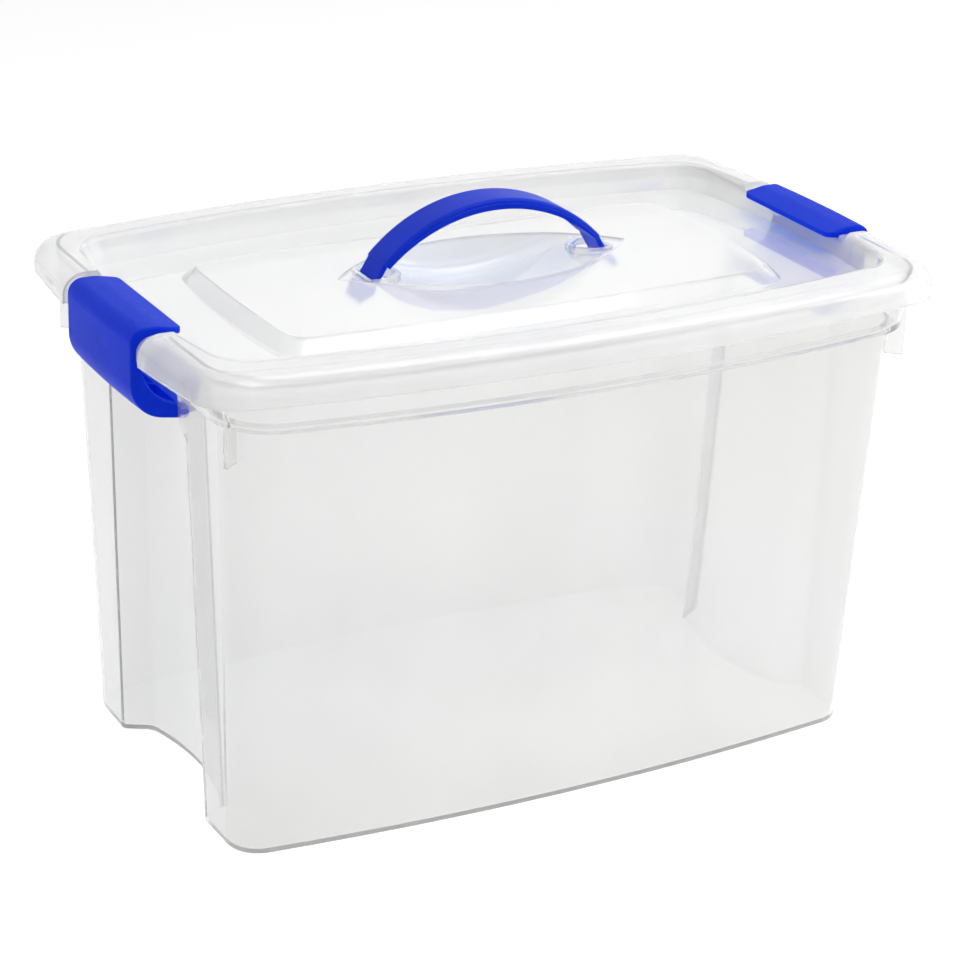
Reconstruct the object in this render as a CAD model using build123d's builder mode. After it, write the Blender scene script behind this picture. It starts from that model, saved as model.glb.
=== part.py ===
from build123d import *
import os
from math import asin, cos, degrees, hypot, radians, sin, sqrt, tan

# Translucent storage box: tub, clip-on lid, two swinging end latches and a strap handle on the lid.
# Origin at the centre of the base, +Z up, +X along the length. All sizes in millimetres.

# Tub: lower wall
BASE_LENGTH = 377.8
BASE_WIDTH = 223.8
BASE_SIDE_BOW = 11.6
BASE_END_BOW = 1.1
BASE_CORNER = 18.2
BASE_ROUNDING = 2.5
TAPER_END = 7.1
TAPER_SIDE = 20.1
LEDGE_HEIGHT = 241.5
LEDGE_SIDE_BOW = 16.0
LEDGE_END_BOW = 1.3
LEDGE_CORNER = 28.8
LEDGE_THICKNESS = 2.6
TUB_WALL = 2.0
FLOOR = 2.4

# Tub: rim band, lowered where the latches lie over it
BAND_STEP_END = 4.5
BAND_STEP_SIDE = 5.7
BAND_SIDE_BOW = 17.0
BAND_END_BOW = 1.6
BAND_CORNER = 31.0
RIM_FLARE = 5.0
RIM_NOTCH_DEPTH = 5.0
RIM_NOTCH_MARGIN = 2.4

# Tub: hand recess in each end
RECESS_DEPTH = 21.9
RECESS_FLOOR_BOW = 7.5
RECESS_LATCH_OVERLAP = 0.9
RECESS_SIDE_TAPER = 7.5
RECESS_SIDE_SLOPE = 0.556
RECESS_CORNER = 8.0
COLUMN_ROUNDING = 3.5

# Tub: corner fins
FIN_LENGTH = 10.3
FIN_THICKNESS = 2.0
FIN_HEIGHT_BELOW_LEDGE = 19.5
FIN_ANGLE = 38.0
FIN_ROOT_IN = 6.7
FIN_ROOT_ACROSS = 22.7
FIN_TOP_DROP = 2.0

# Tub: ears that carry the latches
EAR_SLANT = 5.5
EAR_DEPTH = 13.0
EAR_WIDTH = 16.5
EAR_BELOW_PIVOT = 4.6

# Lid: hollow bead round the edge, with a ring inside that rests on the rim
LID_RISE = 31.4
LID_OVERHANG_END = 20.65
LID_OVERHANG_SIDE = 3.95
LID_SIDE_BOW = 17.6
LID_END_BOW = 9.4
LID_CORNER = 25.4
LID_WALL = 2.0
LID_ROUNDING = 12.0
SKIRT_DEPTH = 15.9
BEAD_WIDTH_SIDE = 23.7
BEAD_WIDTH_END = 19.8
BEAD_INNER_CORNER = 22.0
BEAD_INNER_SLOPE = 10.0
BEAD_INNER_ROUNDING = 3.0
SEAT_BELOW_LID_TOP = 6.9

# Lid: moat and raised platform
MOAT_DEPTH = 14.9
MOAT_WIDTH_END = 48.35
MOAT_WIDTH_SIDE = 42.95
PLATFORM_RISE = 6.0
PLATFORM_BOW = 5.0
PLATFORM_CORNER = 14.0
PLATFORM_SLOPE = 40.0
PLATFORM_END_CROWN = 2.0
PLATFORM_CROWN = 6.0

# Lid: dish under the handle
DISH_DEPTH = 22.9
DISH_END_MARGIN = 1.0
DISH_ROUNDING = 9.0
DISH_WALL_SLOPE = 8.0
LENS_END_MARGIN = 22.0
LENS_WIDTH = 77.0
LENS_STEP = 1.2

# Lid: slots for the handle's necks
SLOT_BELOW_LID_TOP = 3.7
SLOT_DEPTH = 4.0
SLOT_BOSS = 2.2
SLOT_CLEARANCE = 0.5
SLOT_TAPER_LENGTH = 8.5
SLOT_TAPER_WIDTH = 6.0

# Lid: landing for each latch
LANDING_STEP_TOP = 3.5
LANDING_STEP_OUTER = 4.0
LANDING_MARGIN = 8.0

# Handle
HANDLE_SPAN = 130.0
HANDLE_RISE = 27.9
HANDLE_WIDTH = 23.8
HANDLE_DEPTH = 5.6
HANDLE_END_DEPTH = 3.6
HANDLE_TRAVEL = 4.0
STRAP_THICKNESS = 2.6
STRAP_RIM_WIDTH = 3.2
STRAP_SHOULDER = 8.0
STRAP_TOP_ROUNDING = 2.0
EDGE_BEAD_OUT = 0.8
EDGE_BEAD_BELOW_TOP = 2.2
EDGE_BEAD_ROUNDING = 0.6
SHOULDER_ABOVE_SLOT = 7.4
NECK_WIDTH = 18.0
NECK_THICKNESS = 2.8
NECK_ANGLE = 31.0
NECK_ROOT = 2.0
FOOT_ANGLE = 46.0
FOOT_WIDTH = 23.0
FOOT_LENGTH = 10.5
FOOT_BARB = 3.0
FOOT_TIP_WIDTH = 14.0
FOOT_ROUNDING = 1.5
FOOT_DROP = 1.6

# Latches
LATCH_WIDTH = 85.8
LATCH_INSET = 0.15
LATCH_PROUD = 0.4
LATCH_WALL = 7.2
LATCH_SKIN = 2.8
LATCH_FLANGE = 2.6
LATCH_RIB = 1.8
LATCH_SIDE_GAP = 0.6
LATCH_LID_GAP = 0.4
LATCH_EDGE_ROUNDING = 1.2
FLAP_LENGTH = 29.1
FLAP_REACH = 13.0
FLAP_RISE = 2.5
FLAP_CORNER = 5.0
FLAP_TOP_ROUNDING = 24.0
FLAP_EDGE_ROUNDING = 8.0
FLAP_TIP_THICKNESS = 2.6
FLAP_TIP_ROUNDING = 0.8
KNEE_ROUNDING = 20.0
KNEE_BELOW_ARM = 0.1
INNER_KNEE_ROUNDING = 24.0
ARM_TILT = 9.0
PIVOT_INSET = 29.2
PIVOT_BELOW_LEDGE = 14.5
PIN_RADIUS = 2.3
PIN_LENGTH = 3.0
PIN_CLEARANCE = 0.06
BARREL_RADIUS = 4.0

# Lengths and widths that follow from the base
LEDGE_LENGTH = BASE_LENGTH + 2 * TAPER_END
LEDGE_WIDTH = BASE_WIDTH + 2 * TAPER_SIDE
BAND_LENGTH = LEDGE_LENGTH + 2 * BAND_STEP_END
BAND_WIDTH = LEDGE_WIDTH + 2 * BAND_STEP_SIDE
LID_LENGTH = BAND_LENGTH + 2 * LID_OVERHANG_END
LID_WIDTH = BAND_WIDTH + 2 * LID_OVERHANG_SIDE
PLATFORM_LENGTH = LID_LENGTH - 2 * (BEAD_WIDTH_END + MOAT_WIDTH_END)
PLATFORM_WIDTH = LID_WIDTH - 2 * (BEAD_WIDTH_SIDE + MOAT_WIDTH_SIDE)
DISH_LENGTH = HANDLE_SPAN - 2 * DISH_END_MARGIN
LENS_LENGTH = HANDLE_SPAN + 2 * LENS_END_MARGIN
LATCH_HALF = LATCH_WIDTH / 2
EAR_Y = LATCH_HALF + LATCH_SIDE_GAP
EAR_OUTER_Y = EAR_Y + EAR_WIDTH
RECESS_TOP_HALF_WIDTH = LATCH_HALF - RECESS_LATCH_OVERLAP
RECESS_HALF_WIDTH = RECESS_TOP_HALF_WIDTH + RECESS_SIDE_TAPER
LATCH_OUTER = LID_LENGTH / 2 - LATCH_INSET
LATCH_INNER = LATCH_OUTER - LATCH_WALL
FLAP_TIP_X = LATCH_OUTER - FLAP_LENGTH
PIVOT_X = LATCH_OUTER - PIVOT_INSET

# Heights that follow from the ledge
LEDGE_TOP = LEDGE_HEIGHT + LEDGE_THICKNESS
LID_TOP = LEDGE_HEIGHT + LID_RISE
LID_UNDERSIDE = LID_TOP - LID_WALL
SKIRT_BOTTOM = LID_TOP - SKIRT_DEPTH
RIM_TOP = LID_TOP - SEAT_BELOW_LID_TOP
MOAT_FLOOR = LID_TOP - MOAT_DEPTH
PLATFORM_EDGE_HEIGHT = MOAT_FLOOR + PLATFORM_RISE
DISH_FLOOR = LID_TOP - DISH_DEPTH
SLOT_TOP = LID_TOP - SLOT_BELOW_LID_TOP
SLOT_BOTTOM = SLOT_TOP - SLOT_DEPTH
HANDLE_SHOULDER_HEIGHT = SLOT_TOP + SHOULDER_ABOVE_SLOT
HANDLE_TOP = HANDLE_SHOULDER_HEIGHT + HANDLE_RISE
FIN_FOOT_HEIGHT = LEDGE_HEIGHT - FIN_HEIGHT_BELOW_LEDGE
PIVOT_Z = LEDGE_HEIGHT - PIVOT_BELOW_LEDGE
EAR_FOOT_HEIGHT = PIVOT_Z - EAR_BELOW_PIVOT
LATCH_TOP = LID_TOP + LATCH_PROUD
LATCH_BOW_RADIUS = ((LID_WIDTH / 2 - LID_SIDE_BOW) ** 2 + LID_END_BOW**2) / (2 * LID_END_BOW)
FLAP_SWEEP = hypot(FLAP_TIP_X - PIVOT_X, LATCH_TOP - FLAP_RISE - FLAP_TIP_THICKNESS - PIVOT_Z)

# The handle's arch and shoulders
NECK_LEAN = radians(NECK_ANGLE)
FOOT_LEAN = radians(FOOT_ANGLE)
ARCH_RADIUS = ((HANDLE_SPAN / 2) ** 2 + HANDLE_RISE**2) / (2 * HANDLE_RISE)
ARCH_CENTRE_Z = HANDLE_TOP - ARCH_RADIUS
ARCH_END_SHARE = HANDLE_END_DEPTH / ARCH_RADIUS
ARCH_END_X = HANDLE_SPAN / 2 * (1 - ARCH_END_SHARE)
ARCH_END_Z = HANDLE_SHOULDER_HEIGHT - ARCH_END_SHARE * (HANDLE_SHOULDER_HEIGHT - ARCH_CENTRE_Z)
SHOULDER_X = (HANDLE_SPAN / 2 + ARCH_END_X) / 2
SHOULDER_Z = (HANDLE_SHOULDER_HEIGHT + ARCH_END_Z) / 2

# Long enough to reach past everything that a cut passes through
FAR = 60.0


def bowed_outline(half_length, half_width, side_bow, end_bow, corner):
    """A rectangle whose four sides bow outwards, with rounded corners."""
    x = half_length - end_bow
    y = half_width - side_bow
    with BuildSketch() as outline:
        with BuildLine():
            ThreePointArc((-x, -y), (0, -half_width), (x, -y))
            ThreePointArc((x, -y), (half_length, 0), (x, y))
            ThreePointArc((x, y), (0, half_width), (-x, y))
            ThreePointArc((-x, y), (-half_length, 0), (-x, -y))
        make_face()
        fillet(outline.vertices(), corner)
    return outline.sketch


def share(low, high, z):
    """The value at height z of a size that changes evenly from the base to the ledge."""
    return low + (high - low) * z / LEDGE_HEIGHT


def wall_outline(z, inset):
    """The lower wall's outline at height z, moved in by inset."""
    return bowed_outline(
        share(BASE_LENGTH, LEDGE_LENGTH, z) / 2 - inset,
        share(BASE_WIDTH, LEDGE_WIDTH, z) / 2 - inset,
        share(BASE_SIDE_BOW, LEDGE_SIDE_BOW, z),
        share(BASE_END_BOW, LEDGE_END_BOW, z),
        share(BASE_CORNER, LEDGE_CORNER, z) - inset,
    )


def band_outline(z, inset):
    """The rim band's outline at height z, moved in by inset. The ends flare outwards as they rise."""
    flare = RIM_FLARE * (z - LEDGE_HEIGHT) / (RIM_TOP - LEDGE_HEIGHT)
    return bowed_outline(
        BAND_LENGTH / 2 + flare - inset,
        BAND_WIDTH / 2 - inset,
        BAND_SIDE_BOW,
        BAND_END_BOW,
        BAND_CORNER - inset,
    )


def recess_outline(z, grow):
    """The plan of the right end's recess at height z, grown by a wall's thickness for the inside."""
    floor_x = share(BASE_LENGTH, LEDGE_LENGTH, z) / 2 - RECESS_DEPTH
    corner_x = floor_x + RECESS_FLOOR_BOW
    corner_y = share(RECESS_HALF_WIDTH, RECESS_TOP_HALF_WIDTH, z)
    mouth_x = corner_x + FAR
    mouth_y = corner_y + FAR * RECESS_SIDE_SLOPE
    with BuildSketch() as outline:
        with BuildLine():
            ThreePointArc((corner_x, -corner_y), (floor_x, 0), (corner_x, corner_y))
            Polyline((corner_x, corner_y), (mouth_x, mouth_y), (mouth_x, -mouth_y), (corner_x, -corner_y))
        make_face()
        fillet(outline.vertices().sort_by(Axis.X)[:2], RECESS_CORNER)
        if grow:
            offset(amount=grow, kind=Kind.INTERSECTION)
    return outline.sketch


def ear_prism(grow):
    """The space of both ears on the +X end, less a wall's thickness for the inside."""
    side = EAR_Y + grow
    foot = EAR_FOOT_HEIGHT + grow * (sqrt(2) - 1)
    with BuildPart() as prism:
        with BuildSketch(Plane.YZ.offset(LEDGE_LENGTH / 2 - EAR_DEPTH)):
            with BuildLine():
                Polyline(
                    (side, LEDGE_HEIGHT + FAR),
                    (side, foot),
                    (side + EAR_SLANT, foot - EAR_SLANT),
                    (EAR_OUTER_Y, foot - EAR_SLANT),
                    (EAR_OUTER_Y, LEDGE_HEIGHT + FAR),
                    close=True,
                )
            make_face()
        extrude(amount=LID_LENGTH)
        mirror(about=Plane.XZ)
    return prism.part


def recess(grow, top):
    """The space cut into both ends, from below the base up to top."""
    low = recess_outline(-BASE_ROUNDING, grow)
    high = recess_outline(top, grow)
    with BuildPart() as space:
        with BuildSketch(Plane.XY.offset(-BASE_ROUNDING)):
            add(low)
        with BuildSketch(Plane.XY.offset(top)):
            add(high)
        loft(ruled=True)
        mirror(about=Plane.YZ)
    return space.part


def column_edges(part, inset):
    """The upright edges where a recess's sides meet the end wall."""

    def on_column(edge):
        centre = edge.center()
        wall_x = share(BASE_LENGTH, LEDGE_LENGTH, centre.Z) / 2 - inset
        upright = abs(edge.position_at(0).Z - edge.position_at(1).Z) > FLOOR
        at_wall = abs(abs(centre.X) - wall_x) < TUB_WALL
        return upright and at_wall and abs(centre.Y) < RECESS_HALF_WIDTH + RECESS_DEPTH

    return part.edges().filter_by(on_column)


def lower_body(bottom, top, inset, column_rounding, base_rounding):
    """The lower part of the tub, outside or inside, with the recesses cut and the ears filled in."""
    low = wall_outline(bottom, inset)
    high = wall_outline(top, inset)
    space = recess(inset, LEDGE_HEIGHT + FAR)
    ears = ear_prism(inset)
    with BuildPart() as wall:
        with BuildSketch(Plane.XY.offset(bottom)):
            add(low)
        with BuildSketch(Plane.XY.offset(top)):
            add(high)
        loft(ruled=True)
    with BuildPart() as ear_fill:
        add(ears)
        mirror(about=Plane.YZ)
        add(wall.part, mode=Mode.INTERSECT)
    with BuildPart() as body:
        add(wall.part)
        add(space, mode=Mode.SUBTRACT)
        fillet(column_edges(body.part, inset), column_rounding)
        fillet(body.edges().group_by(Axis.Z)[0], base_rounding)
        add(ear_fill.part)
    return body.part


def fin(side_x, side_y):
    """A corner fin from the lower wall out past the rim band."""
    heading = radians(FIN_ANGLE)
    out = Vector(side_x * cos(heading), side_y * sin(heading), 0)
    root = Vector(
        side_x * (LEDGE_LENGTH / 2 - FIN_ROOT_IN),
        side_y * (LEDGE_WIDTH / 2 - FIN_ROOT_ACROSS - FIN_ROOT_IN),
        FIN_FOOT_HEIGHT,
    )
    across = out.cross(Vector(0, 0, 1))
    with BuildPart() as plate:
        with BuildSketch(Plane(origin=root, x_dir=out, z_dir=across)):
            Rectangle(
                FIN_LENGTH + TUB_WALL,
                RIM_TOP - FIN_TOP_DROP - FIN_FOOT_HEIGHT,
                align=(Align.MIN, Align.MIN),
            )
        extrude(amount=FIN_THICKNESS / 2, both=True)
    return plate.part


def bead_inner(z, grow):
    """The outline of the bead's inner wall at height z, grown by the wall for its far side."""
    inset = (LID_TOP - z) * tan(radians(BEAD_INNER_SLOPE)) - grow
    return bowed_outline(
        LID_LENGTH / 2 - BEAD_WIDTH_END - inset,
        LID_WIDTH / 2 - BEAD_WIDTH_SIDE - inset,
        LID_SIDE_BOW,
        LID_END_BOW,
        BEAD_INNER_CORNER + grow,
    )


def plug(bottom, grow):
    """The space inside the bead, from bottom up past the lid's top."""
    top = LID_TOP + LID_WALL
    low = bead_inner(bottom, grow)
    high = bead_inner(top, grow)
    with BuildPart() as space:
        with BuildSketch(Plane.XY.offset(bottom)):
            add(low)
        with BuildSketch(Plane.XY.offset(top)):
            add(high)
        loft(ruled=True)
    return space.part


def crown(drop):
    """Everything below the platform's crowned surface, lowered by drop."""
    half = PLATFORM_WIDTH / 2
    reach = PLATFORM_LENGTH / 2 + LID_WALL
    bottom = DISH_FLOOR - 2 * LID_WALL
    with BuildPart() as body:
        for x, rise in ((-reach, PLATFORM_END_CROWN), (0, PLATFORM_CROWN), (reach, PLATFORM_END_CROWN)):
            with BuildSketch(Plane.YZ.offset(x)):
                with BuildLine():
                    edge = PLATFORM_EDGE_HEIGHT - drop
                    ThreePointArc((-half, edge), (0, edge + rise), (half, edge))
                    Polyline((half, edge), (half, bottom), (-half, bottom), (-half, edge))
                make_face()
        loft()
    return body.part


def platform_outline(inset):
    """The platform's plan, moved in by inset."""
    return bowed_outline(
        PLATFORM_LENGTH / 2 - inset,
        PLATFORM_WIDTH / 2 - inset,
        PLATFORM_BOW,
        PLATFORM_BOW,
        PLATFORM_CORNER,
    )


def platform(drop):
    """The raised middle of the lid: sloped sides under a crowned top."""
    surface = crown(drop)
    height = PLATFORM_EDGE_HEIGHT + PLATFORM_CROWN - MOAT_FLOOR + 2 * LID_WALL
    bottom = MOAT_FLOOR - LID_WALL
    side = height * tan(radians(PLATFORM_SLOPE))
    inset = drop / cos(radians(PLATFORM_SLOPE))
    low_shift = inset - LID_WALL * tan(radians(PLATFORM_SLOPE))
    low = platform_outline(low_shift)
    high = platform_outline(low_shift + side)
    with BuildPart() as body:
        with BuildSketch(Plane.XY.offset(bottom)):
            add(low)
        with BuildSketch(Plane.XY.offset(bottom + height)):
            add(high)
        loft(ruled=True)
        add(surface, mode=Mode.INTERSECT)
    return body.part


def lens_outline(inset):
    """Two arcs that meet at the dish's tips."""
    half_length = LENS_LENGTH / 2 - inset * LENS_LENGTH / LENS_WIDTH
    half_width = LENS_WIDTH / 2 - inset
    with BuildSketch() as outline:
        with BuildLine():
            ThreePointArc((-half_length, 0), (0, -half_width), (half_length, 0))
            ThreePointArc((half_length, 0), (0, half_width), (-half_length, 0))
        make_face()
    return outline.sketch


def dish(grow):
    """The boat-shaped hollow, grown by a wall's thickness for its underside."""
    floor = DISH_FLOOR - grow
    top = LID_TOP
    wall_slope = (top - floor) * tan(radians(DISH_WALL_SLOPE))
    low = lens_outline(wall_slope - grow)
    high = lens_outline(-grow)
    end_x = DISH_LENGTH / 2
    end_z = PLATFORM_EDGE_HEIGHT + PLATFORM_CROWN - grow
    with BuildPart() as body:
        with BuildSketch(Plane.XY.offset(floor - DISH_ROUNDING)):
            add(low)
        with BuildSketch(Plane.XY.offset(top)):
            add(high)
        loft(ruled=True)
        with BuildSketch(Plane.XZ):
            with BuildLine():
                ThreePointArc((-end_x, end_z), (0, floor), (end_x, end_z))
                Polyline((end_x, end_z), (end_x, top), (-end_x, top), (-end_x, end_z))
            make_face()
        extrude(amount=LENS_WIDTH, both=True, mode=Mode.INTERSECT)
        curved = body.edges().filter_by(lambda edge: edge.center().Z < end_z - 1)
        fillet(curved, DISH_ROUNDING + grow)
    return body.part


def landing_cut(grow):
    """What is cut off both ends of the bead so that a latch can lie on it, grown inwards by a wall."""
    bottom = SKIRT_BOTTOM - LID_WALL
    high = LID_TOP + LID_WALL
    far = LID_LENGTH / 2 + LID_WALL
    outer = LID_LENGTH / 2 - LANDING_STEP_OUTER - grow
    top = LID_TOP - LANDING_STEP_TOP - grow
    turn = LID_ROUNDING - LANDING_STEP_TOP - grow
    elbow = turn * (1 - sqrt(0.5))
    reach = FLAP_SWEEP - LATCH_LID_GAP - grow
    limit_x = LATCH_INNER - LATCH_LID_GAP - grow
    last = asin((limit_x - PIVOT_X) / reach)
    with BuildPart() as body:
        with BuildSketch(Plane.XZ):
            with BuildLine():
                Polyline((outer - turn, top), (PIVOT_X, top), (PIVOT_X, high), (far, high), (far, bottom))
                Polyline((far, bottom), (outer, bottom), (outer, top - turn))
                ThreePointArc((outer, top - turn), (outer - elbow, top - elbow), (outer - turn, top))
            make_face()
        extrude(amount=LATCH_HALF + LANDING_MARGIN + grow, both=True)
        with BuildSketch(Plane.XZ):
            with BuildLine():
                ThreePointArc(
                    (PIVOT_X, PIVOT_Z + reach),
                    (PIVOT_X + reach * sin(last / 2), PIVOT_Z + reach * cos(last / 2)),
                    (limit_x, PIVOT_Z + reach * cos(last)),
                )
                Polyline((limit_x, PIVOT_Z + reach * cos(last)), (limit_x, bottom), (far, bottom))
                Polyline((far, bottom), (far, high), (PIVOT_X, high), (PIVOT_X, PIVOT_Z + reach))
            make_face()
        extrude(amount=EAR_Y + grow, both=True)
        mirror(about=Plane.YZ)
    return body.part


def slot_box(grow, bottom, top):
    """The space round each of the handle's necks over its travel, tapering towards the dish."""
    around = SLOT_CLEARANCE + grow
    half = NECK_THICKNESS / 2 / cos(NECK_LEAN) + around
    near = neck_x(SLOT_TOP + HANDLE_TRAVEL) - half
    far = neck_x(SLOT_BOTTOM) + half
    side = NECK_WIDTH / 2 + around
    tip = SLOT_TAPER_WIDTH / 2 + grow
    tip_x = near - SLOT_TAPER_LENGTH
    with BuildPart() as boxes:
        with BuildSketch(Plane.XY.offset(bottom)) as plan:
            with BuildLine():
                Polyline((tip_x, -tip), (near, -side), (far, -side), (far, side), (near, side))
                Polyline((near, side), (tip_x, tip), (tip_x, -tip))
            make_face()
            fillet(plan.vertices(), around)
        extrude(amount=top - bottom)
        mirror(about=Plane.YZ)
    return boxes.part


def neck_x(z):
    """How far along the length the middle of the handle's neck is at height z."""
    return SHOULDER_X + (SHOULDER_Z - z) * tan(NECK_LEAN)


def foot_plane(root, lean):
    """The plane of a strip that leaves the right shoulder, leaning outwards from straight down."""
    along = Vector(sin(lean), 0, -cos(lean))
    return Plane(origin=root, x_dir=along, z_dir=(cos(lean), 0, sin(lean)))


# Tub
lower_outside = lower_body(0, LEDGE_HEIGHT, 0, COLUMN_ROUNDING, BASE_ROUNDING)
lower_inside = lower_body(FLOOR, LEDGE_TOP, TUB_WALL, COLUMN_ROUNDING - TUB_WALL, BASE_ROUNDING / 2)
band_foot = band_outline(LEDGE_HEIGHT, 0)
band_top = band_outline(RIM_TOP, 0)
band_inside_foot = band_outline(LEDGE_TOP, TUB_WALL)
band_inside_top = band_outline(RIM_TOP, TUB_WALL)
fins = [fin(side_x, side_y) for side_x in (-1, 1) for side_y in (-1, 1)]

with BuildPart() as band_space:
    with BuildSketch(Plane.XY.offset(LEDGE_TOP)):
        add(band_inside_foot)
    with BuildSketch(Plane.XY.offset(RIM_TOP)):
        add(band_inside_top)
    loft(ruled=True)

with BuildPart() as tub:
    with BuildSketch(Plane.XY.offset(LEDGE_HEIGHT)):
        add(band_foot)
    with BuildSketch(Plane.XY.offset(RIM_TOP)):
        add(band_top)
    loft(ruled=True)
    add(lower_outside)
    add(fins)
    add(band_space.part, mode=Mode.SUBTRACT)
    add(lower_inside, mode=Mode.SUBTRACT)
    with Locations((0, 0, RIM_TOP)):
        Box(
            LID_LENGTH,
            2 * (EAR_Y + RIM_NOTCH_MARGIN),
            2 * RIM_NOTCH_DEPTH,
            mode=Mode.SUBTRACT,
        )
    with BuildSketch(Plane.XZ):
        with Locations((-PIVOT_X, PIVOT_Z), (PIVOT_X, PIVOT_Z)):
            Circle(PIN_RADIUS + PIN_CLEARANCE)
    extrude(amount=EAR_Y + 2 * TUB_WALL, both=True, mode=Mode.SUBTRACT)

# Lid
dish_inside = dish(0)
dish_outside = dish(LID_WALL)
platform_outside = platform(0)
platform_inside = platform(LID_WALL)
crown_surface = crown(0)
lens_floor = crown(LENS_STEP)
lens_plan = lens_outline(0)
bead_plan = bowed_outline(LID_LENGTH / 2, LID_WIDTH / 2, LID_SIDE_BOW, LID_END_BOW, LID_CORNER)
bead_hollow_plan = bowed_outline(
    LID_LENGTH / 2 - LID_WALL,
    LID_WIDTH / 2 - LID_WALL,
    LID_SIDE_BOW,
    LID_END_BOW,
    LID_CORNER - LID_WALL,
)
moat = plug(MOAT_FLOOR, 0)
bead_inner_wall = plug(MOAT_FLOOR - 2 * LID_WALL, LID_WALL)
landing = landing_cut(0)
landing_inside = landing_cut(LID_WALL)
slot_bosses = slot_box(SLOT_BOSS, SLOT_BOTTOM, SLOT_TOP)
slots = slot_box(0, SLOT_BOTTOM - 2 * LID_WALL, SLOT_TOP + LID_WALL)

with BuildPart() as seat_ring:
    with BuildSketch(Plane.XY.offset(RIM_TOP)):
        add(band_top)
        add(band_inside_top, mode=Mode.SUBTRACT)
    extrude(amount=SEAT_BELOW_LID_TOP)

with BuildPart() as bead_hollow:
    with BuildSketch(Plane.XY.offset(MOAT_FLOOR - 2 * LID_WALL)):
        add(bead_hollow_plan)
    extrude(amount=LID_UNDERSIDE - MOAT_FLOOR + 2 * LID_WALL)
    fillet(bead_hollow.faces().sort_by(Axis.Z)[-1].edges(), LID_ROUNDING - LID_WALL)
    add(bead_inner_wall, mode=Mode.SUBTRACT)
    add(landing_inside, mode=Mode.SUBTRACT)
    add(seat_ring.part, mode=Mode.SUBTRACT)

with BuildPart() as moat_slab:
    add(bead_inner_wall)
    with BuildSketch(Plane.XY.offset(MOAT_FLOOR - LID_WALL)):
        Rectangle(LID_LENGTH, LID_WIDTH)
    extrude(amount=2 * LID_WALL, mode=Mode.INTERSECT)

with BuildPart() as lens_step:
    with BuildSketch(Plane.XY.offset(MOAT_FLOOR)):
        add(lens_plan)
    extrude(amount=LID_TOP - MOAT_FLOOR)
    add(lens_floor, mode=Mode.SUBTRACT)

with BuildPart() as dish_shell:
    add(dish_outside)
    add(crown_surface, mode=Mode.INTERSECT)

with BuildPart() as under_platform:
    add(platform_inside)
    add(dish_outside, mode=Mode.SUBTRACT)

with BuildPart() as lid:
    with BuildSketch(Plane.XY.offset(SKIRT_BOTTOM)):
        add(bead_plan)
    extrude(amount=SKIRT_DEPTH)
    fillet(lid.faces().sort_by(Axis.Z)[-1].edges(), LID_ROUNDING)
    add(moat_slab.part)
    add(moat, mode=Mode.SUBTRACT)
    fillet(lid.faces().sort_by(Axis.Z)[-1].inner_wires()[0].edges(), BEAD_INNER_ROUNDING)
    add(landing, mode=Mode.SUBTRACT)
    add(bead_hollow.part, mode=Mode.SUBTRACT)
    add(platform_outside)
    add(under_platform.part, mode=Mode.SUBTRACT)
    add(dish_shell.part)
    add(lens_step.part, mode=Mode.SUBTRACT)
    add(dish_inside, mode=Mode.SUBTRACT)
    add(slot_bosses)
    add(slots, mode=Mode.SUBTRACT)

# Handle
shoulder = Vector(SHOULDER_X, 0, SHOULDER_Z)
neck_length = (SHOULDER_Z - SLOT_BOTTOM + FOOT_DROP) / cos(NECK_LEAN)
neck_end = shoulder + Vector(sin(NECK_LEAN), 0, -cos(NECK_LEAN)) * neck_length
channel_x = HANDLE_SPAN / 2 - STRAP_SHOULDER
channel_radius = ARCH_RADIUS - STRAP_THICKNESS
channel_z = ARCH_CENTRE_Z + sqrt(channel_radius**2 - channel_x**2)

with BuildPart() as edge_step:
    with BuildSketch(Plane.XZ.offset(HANDLE_WIDTH / 2 - EDGE_BEAD_OUT)):
        with Locations((0, ARCH_CENTRE_Z)):
            Circle(ARCH_RADIUS + HANDLE_DEPTH)
            Circle(ARCH_RADIUS - EDGE_BEAD_BELOW_TOP, mode=Mode.SUBTRACT)
    extrude(amount=HANDLE_WIDTH)
    mirror(about=Plane.XZ)

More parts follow.
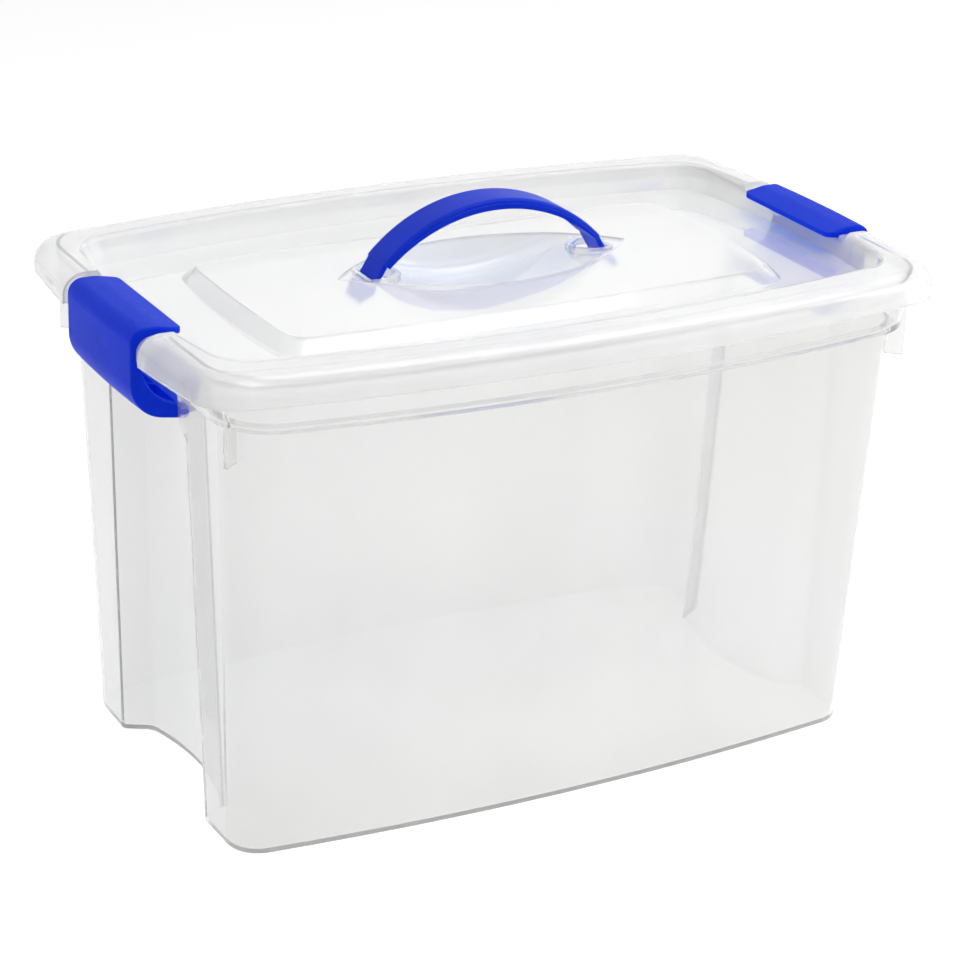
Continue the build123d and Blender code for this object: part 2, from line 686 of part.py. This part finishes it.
with BuildPart() as handle:
    with BuildSketch(Plane.XZ):
        with BuildLine():
            ThreePointArc(
                (-HANDLE_SPAN / 2, HANDLE_SHOULDER_HEIGHT),
                (0, HANDLE_TOP),
                (HANDLE_SPAN / 2, HANDLE_SHOULDER_HEIGHT),
            )
            Line((HANDLE_SPAN / 2, HANDLE_SHOULDER_HEIGHT), (ARCH_END_X, ARCH_END_Z))
            ThreePointArc(
                (ARCH_END_X, ARCH_END_Z),
                (0, HANDLE_TOP - HANDLE_DEPTH),
                (-ARCH_END_X, ARCH_END_Z),
            )
            Line((-ARCH_END_X, ARCH_END_Z), (-HANDLE_SPAN / 2, HANDLE_SHOULDER_HEIGHT))
        make_face()
    extrude(amount=HANDLE_WIDTH / 2, both=True)
    add(edge_step.part, mode=Mode.SUBTRACT)
    fillet(handle.edges().filter_by(GeomType.CIRCLE).group_by(Axis.Z)[-1], STRAP_TOP_ROUNDING)
    arcs = handle.edges().filter_by(GeomType.CIRCLE)
    on_side = (HANDLE_WIDTH - EDGE_BEAD_OUT) / 2
    fillet(arcs.filter_by(lambda arc: abs(arc.center().Y) > on_side), EDGE_BEAD_ROUNDING)
    with BuildSketch(Plane.XZ):
        with BuildLine():
            ThreePointArc(
                (-channel_x, channel_z),
                (0, HANDLE_TOP - STRAP_THICKNESS),
                (channel_x, channel_z),
            )
            Line((channel_x, channel_z), (channel_x, SLOT_TOP))
            Line((channel_x, SLOT_TOP), (-channel_x, SLOT_TOP))
            Line((-channel_x, SLOT_TOP), (-channel_x, channel_z))
        make_face()
    extrude(amount=HANDLE_WIDTH / 2 - STRAP_RIM_WIDTH, both=True, mode=Mode.SUBTRACT)
    with BuildSketch(foot_plane(shoulder, NECK_LEAN)):
        with Locations((-NECK_ROOT, 0)):
            Rectangle(
                NECK_ROOT + neck_length + NECK_ROOT / 2,
                NECK_WIDTH,
                align=(Align.MIN, Align.CENTER),
            )
    extrude(amount=NECK_THICKNESS / 2, both=True)
    mirror(about=Plane.YZ)
    with BuildSketch(foot_plane(neck_end, FOOT_LEAN)) as foot:
        with BuildLine():
            Polyline(
                (0, FOOT_WIDTH / 2),
                (FOOT_BARB, FOOT_WIDTH / 2),
                (FOOT_LENGTH, FOOT_TIP_WIDTH / 2),
                (FOOT_LENGTH, -FOOT_TIP_WIDTH / 2),
                (FOOT_BARB, -FOOT_WIDTH / 2),
                (0, -FOOT_WIDTH / 2),
                close=True,
            )
        make_face()
        fillet(foot.vertices(), FOOT_ROUNDING)
    extrude(amount=NECK_THICKNESS / 2, both=True)
    mirror(about=Plane.YZ)

# Latches
arm_tilt = radians(ARM_TILT)
arm_along = Vector(cos(arm_tilt), 0, sin(arm_tilt))
arm_up = Vector(-sin(arm_tilt), 0, cos(arm_tilt))
pivot = Vector(PIVOT_X, 0, PIVOT_Z)
barrel_low = pivot - arm_up * BARREL_RADIUS
barrel_back = pivot - arm_along * BARREL_RADIUS
barrel_high = pivot + arm_up * BARREL_RADIUS
inner_knee = (LATCH_INNER, barrel_high.Z + (LATCH_INNER - barrel_high.X) * tan(arm_tilt))
flap_end = asin((LATCH_INNER - PIVOT_X) / FLAP_SWEEP)
flap_foot = (LATCH_INNER, PIVOT_Z + FLAP_SWEEP * cos(flap_end))
flap_middle = (PIVOT_X + FLAP_SWEEP * sin(flap_end / 2), PIVOT_Z + FLAP_SWEEP * cos(flap_end / 2))
flap_tip_top = (FLAP_TIP_X, LATCH_TOP - FLAP_RISE)
flap_tip_under = (FLAP_TIP_X, LATCH_TOP - FLAP_RISE - FLAP_TIP_THICKNESS)
flap_top = (FLAP_TIP_X + FLAP_REACH, LATCH_TOP)
flap_corner = (LATCH_OUTER, LATCH_TOP)
knee = (LATCH_OUTER, barrel_low.Z + (LATCH_OUTER - barrel_low.X) * tan(arm_tilt))
arm_foot = (barrel_low.X, barrel_low.Z)
past_outer = LATCH_OUTER + LATCH_WALL
past_corner = (past_outer, LATCH_TOP)
past_knee = (past_outer, knee[1] + LATCH_WALL * tan(arm_tilt))
knee_low = (LATCH_OUTER, knee[1] - KNEE_BELOW_ARM)
skin_inner = PIVOT_X - 2 * BARREL_RADIUS
skin_foot = (skin_inner, knee_low[1] - (LATCH_OUTER - skin_inner) * tan(arm_tilt))
bow_axis = Axis((LATCH_OUTER - LATCH_BOW_RADIUS, 0, 0), (0, 0, 1))
bow_angle = 2 * degrees(LATCH_WIDTH / LATCH_BOW_RADIUS)

with BuildPart() as pocket:
    with BuildSketch(Plane.XZ) as outer:
        with BuildLine():
            Polyline(flap_tip_top, flap_top, flap_corner, knee, arm_foot, close=True)
        make_face()
        fillet(outer.vertices().sort_by_distance((*flap_corner, 0))[:1], FLAP_EDGE_ROUNDING)
        fillet(outer.vertices().sort_by_distance((*knee, 0))[:1], KNEE_ROUNDING)
        offset(amount=-LATCH_SKIN, kind=Kind.INTERSECTION)
    extrude(amount=LATCH_HALF - LATCH_FLANGE, both=True)
    with GridLocations(0, (LATCH_WIDTH - 2 * LATCH_FLANGE) / 3, 1, 2):
        Box(LID_LENGTH, LATCH_RIB, 2 * LID_TOP, mode=Mode.SUBTRACT)

with BuildPart() as flap_corners:
    with BuildSketch(Plane.XY.offset(flap_foot[1])):
        with Locations((FLAP_TIP_X, LATCH_HALF)):
            Rectangle(2 * FLAP_CORNER, 2 * FLAP_CORNER)
        with Locations((FLAP_TIP_X + FLAP_CORNER, LATCH_HALF - FLAP_CORNER)):
            Circle(FLAP_CORNER, mode=Mode.SUBTRACT)
            Rectangle(FLAP_CORNER, 4 * FLAP_CORNER, align=(Align.MIN, Align.CENTER), mode=Mode.SUBTRACT)
            Rectangle(4 * FLAP_CORNER, FLAP_CORNER, align=(Align.CENTER, Align.MAX), mode=Mode.SUBTRACT)
    extrude(amount=LATCH_TOP)
    mirror(about=Plane.XZ)

with BuildPart() as bowed_skin:
    with BuildSketch(Plane.XZ) as skin:
        with BuildLine():
            Polyline((skin_inner, LATCH_TOP), flap_corner, knee_low, skin_foot, close=True)
        make_face()
        fillet(skin.vertices().sort_by_distance((*flap_corner, 0))[:1], FLAP_EDGE_ROUNDING)
        fillet(skin.vertices().sort_by_distance((*knee_low, 0))[:1], KNEE_ROUNDING)
    revolve(axis=bow_axis, revolution_arc=bow_angle)

with BuildPart() as latch_right:
    with BuildSketch(Plane.XZ) as profile:
        with BuildLine():
            Polyline(flap_tip_under, flap_tip_top, flap_top, past_corner, past_knee, arm_foot)
            ThreePointArc(arm_foot, (barrel_back.X, barrel_back.Z), (barrel_high.X, barrel_high.Z))
            Polyline((barrel_high.X, barrel_high.Z), inner_knee, flap_foot)
            ThreePointArc(flap_foot, flap_middle, flap_tip_under)
        make_face()
        fillet(profile.vertices().sort_by_distance((*inner_knee, 0))[:1], INNER_KNEE_ROUNDING)
        fillet(profile.vertices().sort_by_distance((*flap_top, 0))[:1], FLAP_TOP_ROUNDING)
        fillet(profile.vertices().sort_by_distance((*flap_tip_top, 0))[:1], FLAP_TIP_ROUNDING)
    extrude(amount=LATCH_HALF, both=True)
    add(bowed_skin.part.rotate(bow_axis, -bow_angle / 2), mode=Mode.INTERSECT)
    sides = latch_right.faces().sort_by(Axis.Y)
    fillet(sides[0].edges() + sides[-1].edges(), LATCH_EDGE_ROUNDING)
    add(flap_corners.part, mode=Mode.SUBTRACT)
    add(pocket.part, mode=Mode.SUBTRACT)
    with Locations(Location((PIVOT_X, 0, PIVOT_Z), (90, 0, 0))):
        Cylinder(PIN_RADIUS, LATCH_WIDTH + 2 * PIN_LENGTH)

with BuildPart() as latch_left:
    add(latch_right.part.rotate(Axis.Z, 180))

tub.part.label = "tub"
lid.part.label = "lid"
handle.part.label = "handle"
latch_left.part.label = "latch_left"
latch_right.part.label = "latch_right"

os.makedirs("parts", exist_ok=True)
export_step(tub.part, "parts/tub.step")
export_step(lid.part, "parts/lid.step")
export_step(handle.part, "parts/handle.step")
export_step(latch_left.part, "parts/latch_left.step")
export_step(latch_right.part, "parts/latch_right.step")
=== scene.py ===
import math

import bpy
from mathutils import Matrix, Vector

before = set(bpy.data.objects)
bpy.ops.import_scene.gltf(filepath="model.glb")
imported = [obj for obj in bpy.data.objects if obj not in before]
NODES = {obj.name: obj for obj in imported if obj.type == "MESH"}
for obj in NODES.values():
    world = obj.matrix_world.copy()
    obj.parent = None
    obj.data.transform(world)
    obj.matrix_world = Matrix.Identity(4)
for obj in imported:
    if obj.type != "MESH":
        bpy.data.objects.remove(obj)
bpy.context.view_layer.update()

# A noise texture's values lie mostly between these two
NOISE_LOW = 0.3
NOISE_HIGH = 0.7

# Clear polypropylene. Its index is below the real one, so that thin ledges don't turn dark
CLEAR_IOR = 1.12
COAT = {"Coat Weight": 1.0, "Coat Roughness": 0.05, "Coat IOR": 1.45}
FLOW_SCALE = 9.0
FLOW_DETAIL = 3.0
FLOW_ROUGHNESS = 0.55
FLOW_STRETCH = (1.0, 1.0, 0.45)
WAVE_SCALE = 35.0
WAVE_DETAIL = 2.0
WAVE_HEIGHT = 0.0004
WAVE_STRENGTH = 0.15
CLEAR_LAMP_TINT = (0.93, 0.93, 0.93)

# Blue polypropylene. Little of its gloss is white, so that it stays blue at a grazing angle
BLUE_BODY = {
    "IOR": 1.49,
    "Specular IOR Level": 0.05,
    "Transmission Weight": 0.15,
    "Subsurface Weight": 0.9,
    "Subsurface Radius": (0.0010, 0.0030, 0.0120),
    "Subsurface Scale": 1.0,
}
CLOUD_SCALE = 28.0
CLOUD_DETAIL = 4.0
WEAR_SCALE = 420.0
WEAR_DETAIL = 3.0
GRAIN_SCALE = 1600.0
GRAIN_DETAIL = 2.0
GRAIN_HEIGHT = 0.00003
BLUE_GLOW = (0.020, 0.120, 0.900, 1)
BLUE_LAMP_TINT = (0.52, 0.74, 1.0)

# Studio
WHITE = (1, 1, 1, 1)
WORLD_LIGHT = 0.5
FLOOR_SIZE = 12.0
FLOOR_HEIGHT = -0.0004  # just below the base, so that the two faces don't flicker
FLOOR_COLOUR = (0.82, 0.82, 0.82, 1)
FLOOR_GLOW = 0.46
LAMP_AIM = (0, 0, 0.15)

# Camera, as fitted to the photo
AZIMUTH = math.radians(-28.94)
ELEVATION = math.radians(22.66)
ROLL = math.radians(1.85)
DISTANCE = 1.6133
TARGET = Vector((0.00156, 0.0, 0.1401))
SENSOR_WIDTH = 36.0
LENS = 109.8
CLIP_END = 50.0


# Node helpers
def empty_material(name):
    """A material whose node tree holds its output node alone."""
    material = bpy.data.materials.new(name)
    material.use_nodes = True
    tree = material.node_tree
    tree.nodes.clear()
    return material, tree, tree.nodes.new("ShaderNodeOutputMaterial")


def node_with(tree, kind, values):
    """A new node with these values on its inputs."""
    node = tree.nodes.new(kind)
    for name, value in values.items():
        node.inputs[name].default_value = value
    return node


def noise(tree, scale, detail, roughness=0.5, stretch=(1, 1, 1)):
    """Noise over the object's own coordinates, in metres."""
    coords = tree.nodes.new("ShaderNodeTexCoord")
    mapping = node_with(tree, "ShaderNodeMapping", {"Scale": stretch})
    texture = node_with(
        tree, "ShaderNodeTexNoise", {"Scale": scale, "Detail": detail, "Roughness": roughness}
    )
    tree.links.new(coords.outputs["Object"], mapping.inputs["Vector"])
    tree.links.new(mapping.outputs["Vector"], texture.inputs["Vector"])
    return texture.outputs["Fac"]


def spread(tree, value, low, high):
    """Maps a noise value onto the range from low to high."""
    ranged = node_with(
        tree,
        "ShaderNodeMapRange",
        {"From Min": NOISE_LOW, "From Max": NOISE_HIGH, "To Min": low, "To Max": high},
    )
    tree.links.new(value, ranged.inputs["Value"])
    return ranged.outputs["Result"]


def tint(tree, value, low, high):
    """A colour between low and high, by a noise value."""
    ramp = tree.nodes.new("ShaderNodeValToRGB")
    first, last = ramp.color_ramp.elements
    first.position = NOISE_LOW
    first.color = (*low, 1)
    last.position = NOISE_HIGH
    last.color = (*high, 1)
    tree.links.new(value, ramp.inputs["Fac"])
    return ramp.outputs["Color"]


def bump(tree, shader, value, distance, strength):
    """Raises the surface by a noise value."""
    node = node_with(tree, "ShaderNodeBump", {"Strength": strength, "Distance": distance})
    tree.links.new(value, node.inputs["Height"])
    tree.links.new(node.outputs["Normal"], shader.inputs["Normal"])


def pass_lamps(tree, shader, output, colour):
    """Shows shader, but lets each lamp's light pass the surface, tinted by colour."""
    path = tree.nodes.new("ShaderNodeLightPath")
    passing = node_with(tree, "ShaderNodeBsdfTransparent", {"Color": (*colour, 1)})
    either = tree.nodes.new("ShaderNodeMixShader")
    tree.links.new(path.outputs["Is Shadow Ray"], either.inputs[0])
    tree.links.new(shader.outputs[0], either.inputs[1])
    tree.links.new(passing.outputs["BSDF"], either.inputs[2])
    tree.links.new(either.outputs["Shader"], output.inputs["Surface"])


def direct_look(tree):
    """1 for a ray of the camera, a mirror or a clear wall, and 0 for one that gathers light."""
    path = tree.nodes.new("ShaderNodeLightPath")
    seen = path.outputs["Is Camera Ray"]
    for ray in ("Is Glossy Ray", "Is Transmission Ray"):
        either = tree.nodes.new("ShaderNodeMath")
        either.operation = "MAXIMUM"
        tree.links.new(seen, either.inputs[0])
        tree.links.new(path.outputs[ray], either.inputs[1])
        seen = either.outputs[0]
    return seen


# Materials
def clear_plastic(name, transmission, roughness, low, high):
    """Milky see-through polypropylene with the faint flow marks of a moulding."""
    material, tree, output = empty_material(name)
    shader = node_with(
        tree,
        "ShaderNodeBsdfPrincipled",
        {"IOR": CLEAR_IOR, "Transmission Weight": transmission, **COAT},
    )
    flow = noise(tree, FLOW_SCALE, FLOW_DETAIL, FLOW_ROUGHNESS, FLOW_STRETCH)
    tree.links.new(tint(tree, flow, low, high), shader.inputs["Base Color"])
    tree.links.new(spread(tree, flow, *roughness), shader.inputs["Roughness"])
    bump(tree, shader, noise(tree, WAVE_SCALE, WAVE_DETAIL), WAVE_HEIGHT, WAVE_STRENGTH)
    pass_lamps(tree, shader, output, CLEAR_LAMP_TINT)
    return material


def blue_plastic(name, low, high, roughness, grain, light_through):
    """Cobalt polypropylene with a fine spark-eroded grain, which lets some light through."""
    material, tree, output = empty_material(name)
    shader = node_with(tree, "ShaderNodeBsdfPrincipled", BLUE_BODY)
    cloud = noise(tree, CLOUD_SCALE, CLOUD_DETAIL)
    wear = noise(tree, WEAR_SCALE, WEAR_DETAIL)
    tree.links.new(tint(tree, cloud, low, high), shader.inputs["Base Color"])
    tree.links.new(spread(tree, wear, *roughness), shader.inputs["Roughness"])
    bump(tree, shader, noise(tree, GRAIN_SCALE, GRAIN_DETAIL), GRAIN_HEIGHT, grain)
    glow = node_with(tree, "ShaderNodeBsdfTranslucent", {"Color": BLUE_GLOW})
    either = node_with(tree, "ShaderNodeMixShader", {"Fac": light_through})
    tree.links.new(shader.outputs["BSDF"], either.inputs[1])
    tree.links.new(glow.outputs["BSDF"], either.inputs[2])
    pass_lamps(tree, either, output, BLUE_LAMP_TINT)
    return material


TUB = clear_plastic(
    "tub_polypropylene",
    transmission=0.86,
    roughness=(0.05, 0.10),
    low=(0.862, 0.862, 0.858),
    high=(0.898, 0.898, 0.894),
)
LID = clear_plastic(
    "lid_polypropylene",
    transmission=0.72,
    roughness=(0.12, 0.22),
    low=(0.936, 0.937, 0.938),
    high=(0.964, 0.965, 0.966),
)
LATCH = blue_plastic(
    "latch_blue",
    low=(0.003, 0.050, 0.62),
    high=(0.005, 0.060, 0.70),
    roughness=(0.34, 0.46),
    grain=0.25,
    light_through=0.30,
)
HANDLE = blue_plastic(
    "handle_blue",
    low=(0.002, 0.036, 0.54),
    high=(0.004, 0.046, 0.60),
    roughness=(0.32, 0.38),
    grain=0.02,
    light_through=0.10,
)

DRESS = {
    "tub": TUB,
    "lid": LID,
    "handle": HANDLE,
    "latch_left": LATCH,
    "latch_right": LATCH,
}
for name, material in DRESS.items():
    mesh = NODES[name].data
    mesh.materials.clear()
    mesh.materials.append(material)

# World: white to look at, dimmer as a light
world = bpy.data.worlds.new("studio")
bpy.context.scene.world = world
world.use_nodes = True
world_tree = world.node_tree
background = world_tree.nodes["Background"]
background.inputs["Color"].default_value = WHITE
strength = node_with(world_tree, "ShaderNodeMapRange", {"To Min": WORLD_LIGHT, "To Max": 1.0})
world_tree.links.new(direct_look(world_tree), strength.inputs["Value"])
world_tree.links.new(strength.outputs["Result"], background.inputs["Strength"])

# Floor: takes the shadow, and glows just enough to look white
bpy.ops.mesh.primitive_plane_add(size=FLOOR_SIZE, location=(0, 0, FLOOR_HEIGHT))
floor = bpy.context.object
floor.name = "floor"
floor_material, floor_tree, floor_output = empty_material("floor_white")
floor_diffuse = node_with(floor_tree, "ShaderNodeBsdfDiffuse", {"Color": FLOOR_COLOUR})
floor_glow = node_with(floor_tree, "ShaderNodeEmission", {"Color": WHITE})
floor_level = floor_tree.nodes.new("ShaderNodeMath")
floor_level.operation = "MULTIPLY"
floor_level.inputs[1].default_value = FLOOR_GLOW
floor_sum = floor_tree.nodes.new("ShaderNodeAddShader")
floor_tree.links.new(direct_look(floor_tree), floor_level.inputs[0])
floor_tree.links.new(floor_level.outputs[0], floor_glow.inputs["Strength"])
floor_tree.links.new(floor_diffuse.outputs[0], floor_sum.inputs[0])
floor_tree.links.new(floor_glow.outputs[0], floor_sum.inputs[1])
floor_tree.links.new(floor_sum.outputs[0], floor_output.inputs["Surface"])
floor.data.materials.append(floor_material)


def softbox(name, place, size, power):
    """A rectangular studio lamp at place, pointed at the box."""
    lamp = bpy.data.lights.new(name, "AREA")
    lamp.shape = "RECTANGLE"
    lamp.size, lamp.size_y = size
    lamp.energy = power
    holder = bpy.data.objects.new(name, lamp)
    holder.location = place
    aim = Vector(LAMP_AIM) - Vector(place)
    holder.rotation_euler = aim.to_track_quat("-Z", "Y").to_euler()
    bpy.context.scene.collection.objects.link(holder)


softbox("key_top", place=(0.50, -0.55, 1.80), size=(1.6, 1.2), power=13.8)
softbox("fill_left", place=(-2.0, -0.9, 0.9), size=(1.2, 1.2), power=0.3)
softbox("fill_right", place=(2.0, -0.8, 1.0), size=(1.0, 1.4), power=14.0)

# Camera
forward = Vector((
    -math.sin(AZIMUTH) * math.cos(ELEVATION),
    math.cos(AZIMUTH) * math.cos(ELEVATION),
    -math.sin(ELEVATION),
))
level = Vector((math.cos(AZIMUTH), math.sin(AZIMUTH), 0))
upward = level.cross(forward)
right = math.cos(ROLL) * level + math.sin(ROLL) * upward
up = math.cos(ROLL) * upward - math.sin(ROLL) * level
camera_data = bpy.data.cameras.new("camera")
camera_data.sensor_width = SENSOR_WIDTH
camera_data.lens = LENS
camera_data.clip_end = CLIP_END
camera = bpy.data.objects.new("camera", camera_data)
bpy.context.scene.collection.objects.link(camera)
turn = Matrix((right, up, -forward)).transposed().to_4x4()
camera.matrix_world = Matrix.Translation(TARGET - forward * DISTANCE) @ turn
bpy.context.scene.camera = camera

bpy.context.scene.view_settings.view_transform = "Standard"
